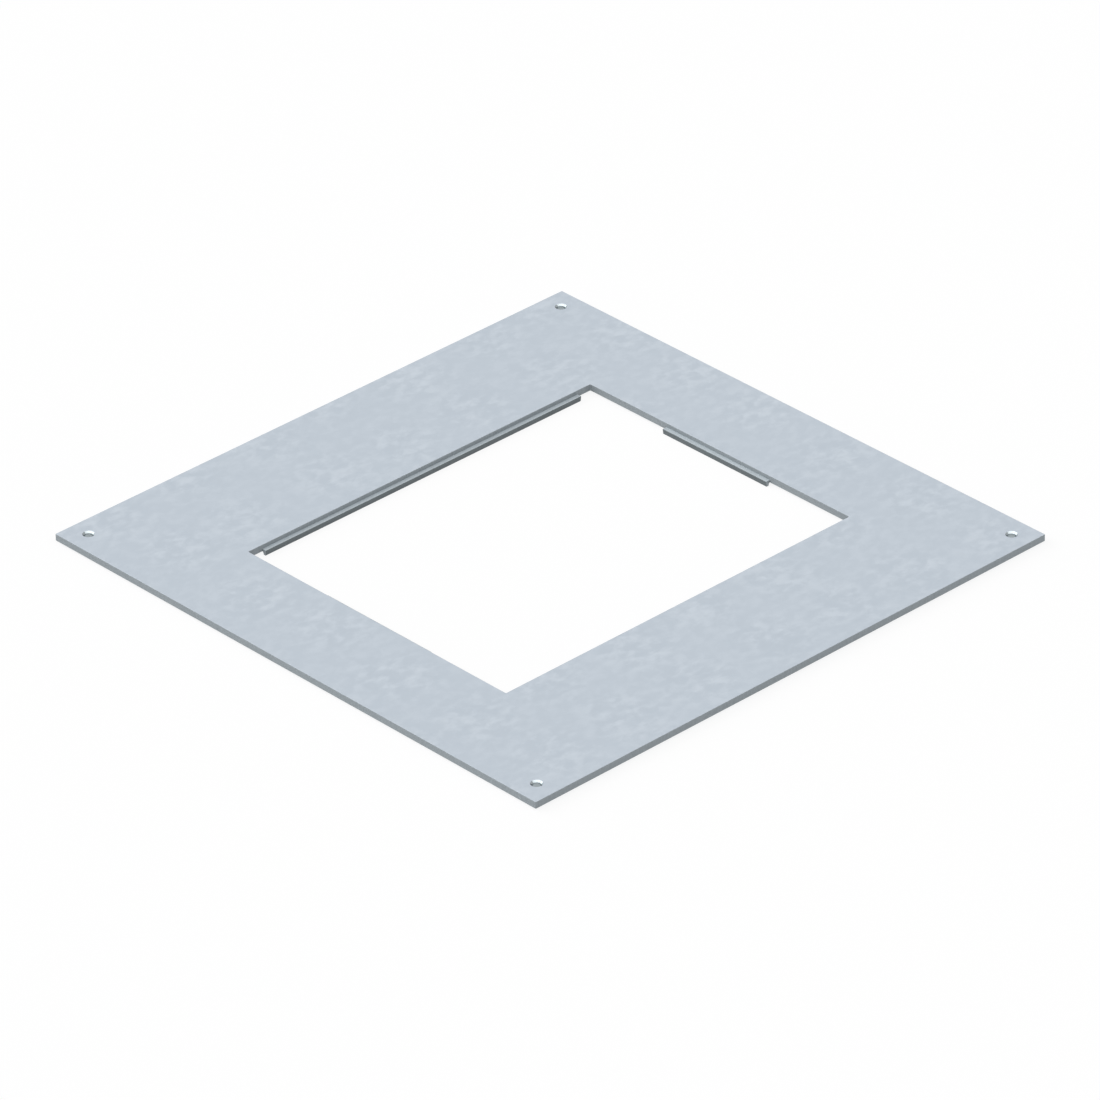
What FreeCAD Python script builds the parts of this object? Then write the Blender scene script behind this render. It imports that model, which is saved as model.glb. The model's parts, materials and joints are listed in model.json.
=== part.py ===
import FreeCAD, Part
import math
import os

from FreeCAD import Vector

# Square steel cover plate for an underfloor wiring box, with an opening for a socket insert.
# The origin is the centre of the plate's underside, where it seats on the box. +Z is up,
# and X runs along the long sides of the opening. All sizes are in millimetres and degrees.

# Cover plate
plate_side = 383.0
plate_thickness = 4.0
plate_corner_radius = 0.6
plate_edge_radius = 0.3

# Opening for the socket insert
opening_length = 258.0
opening_width = 205.0
opening_corner_radius = 0.6

# Countersunk screw holes, one at each corner of the plate
screw_edge_distance = 13.0
screw_hole_diameter = 5.0
countersink_diameter = 7.0
countersink_angle = 90.0

# Angle strips that stand off the sides of the opening as ledges
ledge_reach = 3.0
ledge_flange_height = 1.5
ledge_leg_setback = 0.5
ledge_leg_drop = 1.75
ledge_leg_lean = 8.0
ledge_foot_width = 1.4
ledge_corner_radius = 0.3
long_ledge_corner_gap = 10.0
short_ledge_length = 82.0

ORIGIN = Vector(0, 0, 0)
UP = Vector(0, 0, 1)


def rounded_rectangle(length, width, radius):
    """Closed outline on the plane of the underside, centred on the origin."""
    x, y = length / 2, width / 2
    diagonal = radius * (1 - math.sqrt(0.5))
    edges = []
    for turn in range(4):
        half, reach = (x, y) if turn % 2 == 0 else (y, x)
        side = Part.LineSegment(Vector(half, radius - reach, 0), Vector(half, reach - radius, 0))
        corner = Part.Arc(
            Vector(half, reach - radius, 0),
            Vector(half - diagonal, reach - diagonal, 0),
            Vector(half - radius, reach, 0),
        )
        for curve in (side, corner):
            edge = curve.toShape()
            edge.rotate(ORIGIN, UP, 90 * turn)
            edges.append(edge)
    return Part.Wire(edges)


def countersunk_hole(x, y):
    """Space of one screw hole: a straight bore with a cone that opens at the top face."""
    bore_radius = screw_hole_diameter / 2
    rim_radius = countersink_diameter / 2
    cone_depth = (rim_radius - bore_radius) / math.tan(math.radians(countersink_angle / 2))
    bore = Part.makeCylinder(bore_radius, plate_thickness, Vector(x, y, 0))
    cone = Part.makeCone(bore_radius, rim_radius, cone_depth, Vector(x, y, plate_thickness - cone_depth))
    return bore.fuse(cone)


def edges_through(solid, point):
    """Edges of the solid that pass through the point."""
    return [edge for edge in solid.Edges if edge.distToShape(Part.Vertex(point))[0] < 1e-6]


def cover_plate():
    """Square plate with the rectangular opening and a countersunk hole at each corner.

    The top edges, all round the plate and the opening, are rounded where the burr is taken off.
    """
    outline = rounded_rectangle(plate_side, plate_side, plate_corner_radius)
    opening = rounded_rectangle(opening_length, opening_width, opening_corner_radius)
    plate = Part.Face(outline).cut(Part.Face(opening)).extrude(UP * plate_thickness)
    top_face = max(plate.Faces, key=lambda face: face.CenterOfMass.z)
    plate = plate.makeFillet(plate_edge_radius, top_face.Edges)
    inset = plate_side / 2 - screw_edge_distance
    for x in (-inset, inset):
        for y in (-inset, inset):
            plate = plate.cut(countersunk_hole(x, y))
    return plate.Solids[0]


def ledge(length, edge_distance, turn):
    """Angle strip on one side of the opening, that side being edge_distance from the centre.

    The flange butts on the side of the opening, flush with the underside of the plate. The leg
    hangs below it and narrows to its foot: the front leans back and the back slopes forward.
    The strip is drawn on the +Y side and turned.
    """
    front_height = ledge_flange_height + ledge_leg_drop
    front_of_foot = ledge_reach - front_height * math.tan(math.radians(ledge_leg_lean))
    section = [
        (0, 0),
        (0, ledge_flange_height),
        (ledge_reach, ledge_flange_height),
        (front_of_foot, -ledge_leg_drop),
        (front_of_foot - ledge_foot_width, -ledge_leg_drop),
        (ledge_leg_setback, 0),
    ]
    corners = [Vector(-length / 2, edge_distance - reach, height) for reach, height in section]
    strip = Part.Face(Part.makePolygon(corners + corners[:1])).extrude(Vector(length, 0, 0))
    halfway = Vector(length / 2, 0, 0)
    strip = strip.makeFillet(ledge_corner_radius, edges_through(strip, corners[2] + halfway))
    strip.rotate(ORIGIN, UP, turn)
    return strip.Solids[0]


def cover_parts():
    """Every piece of the cover, by its node name."""
    long_ledge_length = opening_length - 2 * long_ledge_corner_gap
    return {
        "cover_plate": cover_plate(),
        "long_ledge_back": ledge(long_ledge_length, opening_width / 2, 0),
        "long_ledge_front": ledge(long_ledge_length, opening_width / 2, 180),
        "short_ledge_left": ledge(short_ledge_length, opening_length / 2, 90),
        "short_ledge_right": ledge(short_ledge_length, opening_length / 2, -90),
    }


os.makedirs("parts", exist_ok=True)
for node, shape in cover_parts().items():
    shape.exportStep(f"parts/{node}.step")
    print(node, "valid" if shape.isValid() else "invalid", round(shape.Volume, 2), "mm3", shape.BoundBox)
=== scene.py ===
# %% [markdown]
# # A galvanised floor box cover
# The cover is a square steel plate that closes an underfloor wiring box. Its solids come from the
# CAD model at their real size, so nothing is modelled twice here. This lesson dresses them: it
# makes the zinc finish, the cut edges and the bored screw holes as node materials, and then sets
# up the floor, the light and the camera.

# %% Load the solids
import json
import math

import bpy
from mathutils import Matrix, Vector


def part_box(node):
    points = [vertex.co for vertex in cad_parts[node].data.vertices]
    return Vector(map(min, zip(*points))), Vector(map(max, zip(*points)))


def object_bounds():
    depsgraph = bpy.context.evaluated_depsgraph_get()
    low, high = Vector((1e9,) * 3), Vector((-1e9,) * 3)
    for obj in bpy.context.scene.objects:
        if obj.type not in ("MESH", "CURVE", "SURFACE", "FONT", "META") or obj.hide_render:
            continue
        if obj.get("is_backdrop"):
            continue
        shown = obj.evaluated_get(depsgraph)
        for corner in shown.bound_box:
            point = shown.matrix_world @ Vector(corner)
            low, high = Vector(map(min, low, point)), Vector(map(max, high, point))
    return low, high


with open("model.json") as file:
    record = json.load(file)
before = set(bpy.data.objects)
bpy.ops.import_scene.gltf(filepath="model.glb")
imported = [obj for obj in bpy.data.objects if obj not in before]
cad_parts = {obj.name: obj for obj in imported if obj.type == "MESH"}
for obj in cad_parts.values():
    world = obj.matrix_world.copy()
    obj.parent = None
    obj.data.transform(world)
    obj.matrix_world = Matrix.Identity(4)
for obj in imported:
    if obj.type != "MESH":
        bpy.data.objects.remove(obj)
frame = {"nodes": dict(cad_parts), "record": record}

MM_PER_METRE = 1000

solids_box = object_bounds()
plate_low, plate_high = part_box("cover_plate")
plate_side = plate_high.x - plate_low.x
plate_top = plate_high.z
plate_thickness = plate_top - plate_low.z
print(f"plate {MM_PER_METRE * plate_side:.1f} mm square, {MM_PER_METRE * plate_thickness:.1f} mm thick")

# %% [markdown]
# ## Small helpers for node trees
# A material is a tree of nodes. Adding a node, setting it up and linking it takes several lines
# each time, so a few helpers keep the trees readable. An input takes either a plain value or the
# output of another node. The mix node has a pair of inputs for each kind of data, with the same
# names, so they are reached by number: 2 and 3 take plain numbers, 6 and 7 take colours.

# %% Helpers for node trees


def add_node(tree, kind, inputs=None, **settings):
    """Adds a node to the tree, with its settings and its inputs, by name or by number."""
    node = tree.nodes.new(kind)
    for name, value in settings.items():
        setattr(node, name, value)
    for key, value in (inputs or {}).items():
        if isinstance(value, bpy.types.NodeSocket):
            tree.links.new(value, node.inputs[key])
        else:
            node.inputs[key].default_value = value
    return node


def maths(tree, operation, first, second=0.0):
    """One sum on one or two numbers."""
    return add_node(tree, "ShaderNodeMath", {0: first, 1: second}, operation=operation).outputs[0]


def fade(tree, value, start, end):
    """Rises smoothly from 0 to 1 as the value goes from start to end."""
    inputs = {"Value": value, "From Min": start, "From Max": end}
    node = add_node(tree, "ShaderNodeMapRange", inputs, interpolation_type="SMOOTHSTEP")
    return node.outputs["Result"]


def blend_values(tree, share, first, second):
    """A number between first and second."""
    inputs = {0: share, 2: first, 3: second}
    return add_node(tree, "ShaderNodeMix", inputs, data_type="FLOAT").outputs[0]


def blend_colours(tree, share, first, second):
    """A colour between first and second."""
    inputs = {0: share, 6: first, 7: second}
    return add_node(tree, "ShaderNodeMix", inputs, data_type="RGBA").outputs[2]


print("helpers that add nodes, sums, fades and blends are ready")

# %% [markdown]
# ## Places and new materials
# Patterns are laid out by the place on the piece. Generated coordinates would stretch them to the
# box of each piece, so Object coordinates are used. They are in metres, and counted in millimetres
# they let every pattern have its real size. Each material starts empty, with one surface shader
# and the output, so that nothing is left over from Blender's own starting tree.

# %% Places and new materials


def scaled(tree, vector, scale):
    """The vector with each of its parts multiplied."""
    inputs = {0: vector, 1: scale}
    return add_node(tree, "ShaderNodeVectorMath", inputs, operation="MULTIPLY").outputs[0]


def millimetres(tree, scale=(1, 1, 1)):
    """Object coordinates counted in millimetres, so that pattern sizes read as real ones."""
    place = add_node(tree, "ShaderNodeTexCoord").outputs["Object"]
    return scaled(tree, place, Vector(scale) * MM_PER_METRE)


def new_material(name):
    """An empty material and its tree, with the output and one surface shader in place."""
    material = bpy.data.materials.new(name)
    material.use_nodes = True
    tree = material.node_tree
    tree.nodes.clear()
    surface = add_node(tree, "ShaderNodeBsdfPrincipled")
    output = add_node(tree, "ShaderNodeOutputMaterial", {"Surface": surface.outputs["BSDF"]})
    output.name = "Output"
    return material, tree, surface


print(f"patterns are counted in millimetres, {MM_PER_METRE} to the metre")

# %% [markdown]
# ## Zinc spangle
# Hot-dipped zinc freezes on the sheet in flat crystals, which show as soft paler and duller flakes,
# gathered in loose clumps on an even ground. An image of real sheet would do, but it would repeat
# and blur close up. Here three procedural patterns are combined: a twisted noise for the flakes,
# a fine cell pattern for the single crystals, and a coarse, nearly even cell pattern that says
# where the flakes gather. Between the clumps the flakes fade to the ground's tone.

# %% Zinc spangle

flake_length = 7.6
flake_width = 5.8
flake_detail = 2.5
flake_twist = 0.25
flake_fade = (0.34, 0.76)
crystal_size = 2.6
crystal_share = 0.08
clump_spacing = (55.0, 60.0)
clump_scatter = 0.3
clump_fade = (0.15, 0.6)
flakes_between_clumps = 0.35
ground_tone = 0.24


def zinc_spangle(tree, place):
    """Brightness of the zinc, from 0 in the dullest flakes to 1 in the palest ones."""
    along_flakes = (1 / flake_length, 1 / flake_width, 1 / flake_width)
    noise = {
        "Vector": scaled(tree, place, along_flakes),
        "Scale": 1.0,
        "Detail": flake_detail,
        "Distortion": flake_twist,
    }
    flakes = add_node(tree, "ShaderNodeTexNoise", noise).outputs["Fac"]
    crystals = add_node(tree, "ShaderNodeTexVoronoi", {"Vector": place, "Scale": 1 / crystal_size})
    crystal_tone = add_node(tree, "ShaderNodeSeparateColor", {0: crystals.outputs["Color"]}).outputs[0]
    across_clumps = (1 / clump_spacing[0], 1 / clump_spacing[1], 0)
    cells = {"Vector": scaled(tree, place, across_clumps), "Scale": 1.0, "Randomness": clump_scatter}
    clumps = add_node(tree, "ShaderNodeTexVoronoi", cells, voronoi_dimensions="2D").outputs["Distance"]
    gathered = blend_values(tree, fade(tree, clumps, *clump_fade), 1.0, flakes_between_clumps)
    pale = blend_values(tree, gathered, ground_tone, fade(tree, flakes, *flake_fade))
    return blend_values(tree, crystal_share, pale, crystal_tone)


print(f"zinc spangle: flakes {flake_length} by {flake_width} mm, in clumps {clump_spacing} mm apart")

# %% [markdown]
# ## Telling the surfaces apart
# The plate is blanked from sheet that is already galvanised, so three finishes meet on it: zinc on
# the faces, darker bare steel on the cut edges and turned steel in the screw holes. They could be
# three materials on three sets of faces, but the direction that a surface faces already tells them
# apart, so one material reads it and needs no selecting by hand. Only the screw holes are also
# found by their place, which the record of the part gives.

# %% Telling the surfaces apart

# Each pair says how level a surface is, from 0 for upright to 1 for level, where one finish gives
# way to the next.
edge_to_face = (0.8, 0.99)
face_to_hole = (0.97, 0.9)
bore_to_cone = (0.2, 0.5)

screw_holes = next(mount for mount in frame["record"]["mounts"] if mount["name"] == "screw_holes")
hole_inset = screw_holes["dims"]["spacing_x_mm"] / 2
countersink_reach = 3.8


def facing(tree):
    """The X, Y and Z parts of the direction that the surface faces."""
    normal = add_node(tree, "ShaderNodeNewGeometry").outputs["Normal"]
    return add_node(tree, "ShaderNodeSeparateXYZ", {0: normal}).outputs


def near_screw_hole(tree, place):
    """1 inside the screw holes and 0 elsewhere: the four corners fold onto one."""
    corner = add_node(tree, "ShaderNodeVectorMath", {0: place}, operation="ABSOLUTE").outputs[0]
    parts = add_node(tree, "ShaderNodeSeparateXYZ", {0: corner}).outputs
    across = maths(tree, "SUBTRACT", parts["X"], hole_inset)
    along = maths(tree, "SUBTRACT", parts["Y"], hole_inset)
    square = maths(tree, "ADD", maths(tree, "POWER", across, 2.0), maths(tree, "POWER", along, 2.0))
    return maths(tree, "LESS_THAN", square, countersink_reach**2)


print(f"screw holes {hole_inset} mm from the plate's centre lines")

# %% [markdown]
# ## Tool marks
# Shears, saws, drills and drawing dies all leave fine scores along the way they move. They could be
# cut into the mesh, but they are finer than its triangles, so they are a noise that is drawn out
# along one or two axes. It tints the steel a little and raises it in the shading.

# %% Tool marks

mark_detail = 4.0
mark_fade = (0.3, 0.7)


def tool_marks(tree, stretch, marks_per_millimetre):
    """Fine scores that a tool leaves, drawn out along the axes where stretch is small."""
    place = millimetres(tree, stretch)
    inputs = {"Vector": place, "Scale": marks_per_millimetre, "Detail": mark_detail}
    return fade(tree, add_node(tree, "ShaderNodeTexNoise", inputs).outputs["Fac"], *mark_fade)


def add_relief(tree, surface, height, strength, depth):
    """Raises fine marks in the shading, as high as depth, in metres."""
    bump = add_node(tree, "ShaderNodeBump", {"Height": height, "Strength": strength, "Distance": depth})
    tree.links.new(bump.outputs["Normal"], surface.inputs["Normal"])


print("tool marks are ready")

# %% [markdown]
# ## The plate's finish
# Galvanised sheet is dull rather than shiny. It could be all metal, but metal only mirrors what
# stands round it, and in a white room it loses its own grey. So the zinc and the cut steel are
# partly metal and fairly rough. The turned steel in the screw holes is a dark mirror, smoother in
# the countersink than in the bore: it is white only where it shows a lamp, as the far side of each
# countersink does.

# %% The plate's finish

ZINC_DULL = (0.477, 0.532, 0.592, 1)
ZINC_PALE = (0.559, 0.614, 0.674, 1)
CUT_STEEL_DARK = (0.266, 0.298, 0.319, 1)
CUT_STEEL_PALE = (0.302, 0.336, 0.357, 1)
TURNED_STEEL_DARK = (0.3, 0.335, 0.35, 1)
TURNED_STEEL_PALE = (0.335, 0.37, 0.385, 1)
BORED_STEEL = (0.41, 0.46, 0.48, 1)

zinc_roughness = (0.56, 0.46)
edge_roughness = 0.7
bore_roughness = 0.26
cone_roughness = 0.12
zinc_metal = 0.5
edge_metal = 0.35
turned_metal = 1.0


def galvanised_plate():
    """Zinc on the faces, cut steel on the edges and turned steel in the screw holes."""
    material, tree, surface = new_material("spangled_zinc_plate")
    place = millimetres(tree)
    upright = facing(tree)["Z"]
    flat = fade(tree, maths(tree, "ABSOLUTE", upright), *edge_to_face)
    sloping = fade(tree, upright, *face_to_hole)
    turned = maths(tree, "MULTIPLY", near_screw_hole(tree, place), sloping)
    in_cone = fade(tree, upright, *bore_to_cone)

    spangle = zinc_spangle(tree, place)
    shear_marks = tool_marks(tree, stretch=(1, 1, 0.06), marks_per_millimetre=3.0)
    turning_rings = tool_marks(tree, stretch=(0.05, 0.05, 1), marks_per_millimetre=5.0)
    zinc = blend_colours(tree, spangle, ZINC_DULL, ZINC_PALE)
    edge = blend_colours(tree, shear_marks, CUT_STEEL_DARK, CUT_STEEL_PALE)
    cone = blend_colours(tree, turning_rings, TURNED_STEEL_DARK, TURNED_STEEL_PALE)
    hole = blend_colours(tree, in_cone, BORED_STEEL, cone)
    skin = blend_colours(tree, flat, edge, zinc)
    tree.links.new(blend_colours(tree, turned, skin, hole), surface.inputs["Base Color"])

    spangle_roughness = blend_values(tree, spangle, *zinc_roughness)
    skin_roughness = blend_values(tree, flat, edge_roughness, spangle_roughness)
    hole_roughness = blend_values(tree, in_cone, bore_roughness, cone_roughness)
    roughness = blend_values(tree, turned, skin_roughness, hole_roughness)
    tree.links.new(roughness, surface.inputs["Roughness"])
    skin_metal = blend_values(tree, flat, edge_metal, zinc_metal)
    tree.links.new(blend_values(tree, turned, skin_metal, turned_metal), surface.inputs["Metallic"])

    skin_relief = blend_values(tree, flat, shear_marks, spangle)
    relief = blend_values(tree, turned, skin_relief, turning_rings)
    add_relief(tree, surface, relief, strength=0.25, depth=0.00004)
    return material


def put_finish(node, finish):
    """Gives a piece of the cover its only material."""
    slots = frame["nodes"][node].data.materials
    slots.clear()
    slots.append(finish)
    print(node, "finished as", finish.name, "with", len(finish.node_tree.nodes), "nodes")


put_finish("cover_plate", galvanised_plate())

# %% [markdown]
# ## The ledges' finish
# The ledges are narrow drawn strips. Drawing leaves fine lines along their length, and their
# zinc is thinner and duller than the plate's. The upright leg is much darker again: that is
# painted shade, for the shade under the plate. The lines are noise stretched along X and along
# Y, since two strips run each way. One material could find out which way its strip runs, but
# two plain ones are easier to follow.

# %% The ledges' finish

STRIP_TOP = (0.515, 0.571, 0.608, 1)
# The upright side is far darker than the top: painted shade for the shade under the plate.
STRIP_SIDE_PAINTED_SHADE = (0.122, 0.144, 0.154, 1)

# How far a surface faces along the strip, where the drawn zinc gives way to a sawn end.
side_to_end = (0.5, 0.9)
line_stretch = 0.03
spangle_share = 0.5
strip_brightness = (0.9, 1.1)
strip_roughness = (0.6, 0.48)
strip_metal = 0.3


def drawn_strip(name, along):
    """Dull zinc with fine lines along X (0) or Y (1), and bare steel on the sawn ends."""
    material, tree, surface = new_material(name)
    parts = facing(tree)
    flat = fade(tree, maths(tree, "ABSOLUTE", parts["Z"]), *edge_to_face)
    end = fade(tree, maths(tree, "ABSOLUTE", parts[along]), *side_to_end)
    stretch = [1, 1, 1]
    stretch[along] = line_stretch
    lines = tool_marks(tree, stretch, marks_per_millimetre=3.0)
    saw_marks = tool_marks(tree, stretch=(1, 1, 0.1), marks_per_millimetre=4.0)
    worn = blend_values(tree, spangle_share, lines, zinc_spangle(tree, millimetres(tree)))

    # Upright faces take the darker side tone, which is painted shade.
    tone = blend_colours(tree, flat, STRIP_SIDE_PAINTED_SHADE, STRIP_TOP)
    inputs = {0: tone, "Scale": blend_values(tree, worn, *strip_brightness)}
    skin = add_node(tree, "ShaderNodeVectorMath", inputs, operation="SCALE").outputs[0]
    sawn = blend_colours(tree, saw_marks, CUT_STEEL_DARK, CUT_STEEL_PALE)
    tree.links.new(blend_colours(tree, end, skin, sawn), surface.inputs["Base Color"])
    tree.links.new(blend_values(tree, worn, *strip_roughness), surface.inputs["Roughness"])
    surface.inputs["Metallic"].default_value = strip_metal

    relief = blend_values(tree, end, lines, saw_marks)
    add_relief(tree, surface, relief, strength=0.3, depth=0.00003)
    return material


for side, along in (("long", 0), ("short", 1)):
    finish = drawn_strip(f"drawn_{side}_strip", along)
    for node in [node for node in frame["nodes"] if node.startswith(side)]:
        put_finish(node, finish)

# %% [markdown]
# ## Floor
# The cover lies on its four ledges on a plain pale floor. The camera and the reflections see the
# floor mostly as plain white, with a part left to the light, so that the soft shadow stays. More
# light would also turn the floor white, but it would wash out the zinc.

# %% Floor

FLOOR_COLOUR = (0.95, 0.95, 0.95, 1)
WHITE = (1, 1, 1, 1)
floor_roughness = 0.9
floor_half = 3.0
white_share = 0.85


def seen_directly(tree):
    """1 for rays from the camera and for reflections and refractions, 0 for diffuse light."""
    path = add_node(tree, "ShaderNodeLightPath").outputs
    mirrored = maths(tree, "MAXIMUM", path["Is Glossy Ray"], path["Is Transmission Ray"])
    return maths(tree, "MAXIMUM", path["Is Camera Ray"], mirrored)


def pale_floor():
    """A white backdrop that keeps the shadow of what stands on it."""
    material, tree, surface = new_material("pale_floor")
    surface.inputs["Base Color"].default_value = FLOOR_COLOUR
    surface.inputs["Roughness"].default_value = floor_roughness
    surface.inputs["Specular IOR Level"].default_value = 0.0
    glow = add_node(tree, "ShaderNodeEmission", {"Color": WHITE, "Strength": 1.0})
    share = maths(tree, "MULTIPLY", seen_directly(tree), white_share)
    inputs = {0: share, 1: surface.outputs["BSDF"], 2: glow.outputs["Emission"]}
    mixed = add_node(tree, "ShaderNodeMixShader", inputs)
    tree.links.new(mixed.outputs["Shader"], tree.nodes["Output"].inputs["Surface"])
    return material


floor_height = solids_box[0][2]
corner_signs = ((-1, -1), (1, -1), (1, 1), (-1, 1))
floor_corners = [(x * floor_half, y * floor_half, floor_height) for x, y in corner_signs]
floor_mesh = bpy.data.meshes.new("floor")
floor_mesh.from_pydata(floor_corners, [], [(0, 1, 2, 3)])
floor_mesh.materials.append(pale_floor())
floor = bpy.data.objects.new("floor", floor_mesh)
bpy.context.scene.collection.objects.link(floor)
floor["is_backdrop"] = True
print(f"floor at {MM_PER_METRE * floor_height:.2f} mm")

# %% [markdown]
# ## Light
# The photo is evenly lit from all round, and a little more from the left: the left edges of the
# plate are paler than the right ones, and the far side of the opening keeps that light off the
# long ledge. A plain white world gives the even part. A row of five distant lamps with wide, soft
# discs, from low on the far left over the front to the right, gives the rest, and it shows as one
# white crescent in the far side of each countersink. One lamp near the part could do the shading,
# but would light one arm of the plate more than another. Together they light a level white surface
# to about white.

# %% Even world

world_level = 0.4


def even_world():
    """White all round: full strength to the eye and in reflections, less as light."""
    world = bpy.data.worlds.new("even_world")
    world.use_nodes = True
    tree = world.node_tree
    tree.nodes.clear()
    light = add_node(tree, "ShaderNodeBackground", {"Color": WHITE, "Strength": world_level})
    seen = add_node(tree, "ShaderNodeBackground", {"Color": WHITE, "Strength": 1.0})
    inputs = {0: seen_directly(tree), 1: light.outputs["Background"], 2: seen.outputs["Background"]}
    mixed = add_node(tree, "ShaderNodeMixShader", inputs)
    add_node(tree, "ShaderNodeOutputWorld", {"Surface": mixed.outputs["Shader"]})
    return world


bpy.context.scene.world = even_world()
print(f"world: lights a level white surface to {world_level} of white")

# %% Row of soft lamps

# Name, then azimuth, elevation and width of the disc in degrees, and level.
soft_lamps = (
    ("far_left_lamp", -156, 27, 44, 0.135),
    ("left_lamp", -123, 44, 40, 0.15),
    ("front_left_lamp", -79, 56, 34, 0.14),
    ("front_lamp", -22, 58, 33, 0.122),
    ("right_lamp", 27, 48, 31, 0.075),
)


def towards(azimuth, elevation):
    """Direction from the part to an azimuth, counted round from the front, and an elevation."""
    level = Vector((math.sin(azimuth), -math.cos(azimuth), 0))
    return level * math.cos(elevation) + Vector((0, 0, math.sin(elevation)))


def soft_lamp(name, azimuth, elevation, disc, level):
    """A distant lamp, as wide as disc says, that lights a level white surface to the level."""
    lamp = bpy.data.lights.new(name, "SUN")
    lamp.angle = math.radians(disc)
    lamp.energy = level * math.pi / math.sin(math.radians(elevation))
    piece = bpy.data.objects.new(name, lamp)
    direction = towards(math.radians(azimuth), math.radians(elevation))
    piece.rotation_euler = direction.to_track_quat("Z", "Y").to_euler()
    bpy.context.scene.collection.objects.link(piece)
    print(f"{name}: {lamp.energy:.2f} W per square metre")


for row in soft_lamps:
    soft_lamp(*row)

# %% [markdown]
# ## Camera
# The photo is taken with a very long lens, so parallel sides stay almost parallel. Its direction,
# distance and lens were worked out from the corners of the plate and of the opening. The camera
# could be turned by eye, but the three directions of its frame are written out here, so that the
# small roll of the photo is kept exactly.

# %% Camera

view_azimuth = math.radians(-42.968)
view_elevation = math.radians(31.101)
view_roll = math.radians(-1.0215)
view_distance = 12.38637 * plate_side
view_shift = (0.0009 * plate_side, -0.02273 * plate_side)
sensor_width = 36.0
focal_length = 283.99
farthest_seen = 50

back = towards(view_azimuth, view_elevation)
level_right = Vector((math.cos(view_azimuth), math.sin(view_azimuth), 0))
level_up = back.cross(level_right)
right = level_right * math.cos(view_roll) + level_up * math.sin(view_roll)
up = level_up * math.cos(view_roll) - level_right * math.sin(view_roll)

lens = bpy.data.cameras.new("photo_camera")
lens.sensor_width = sensor_width
lens.lens = focal_length
lens.clip_end = farthest_seen
camera = bpy.data.objects.new("photo_camera", lens)
turn = Matrix((right, up, back)).transposed().to_4x4()
place = Vector((0, 0, plate_top)) + right * view_shift[0] + up * view_shift[1] + back * view_distance
camera.matrix_world = Matrix.Translation(place) @ turn
bpy.context.scene.collection.objects.link(camera)
bpy.context.scene.camera = camera
bpy.context.scene.view_settings.view_transform = "Standard"
print("camera at", [round(value, 3) for value in place])

# %% [markdown]
# ## Sizes
# The finishes add no shape, so the dressed cover has to be exactly as large as the solids. The box
# of the solids and the box of the dressed scene are printed here, side by side.

# %% Print the sizes
sizes = {"cad": solids_box, "visual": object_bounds()}
sizes = {name: [list(corner) for corner in box] for name, box in sizes.items()}
print(sizes)
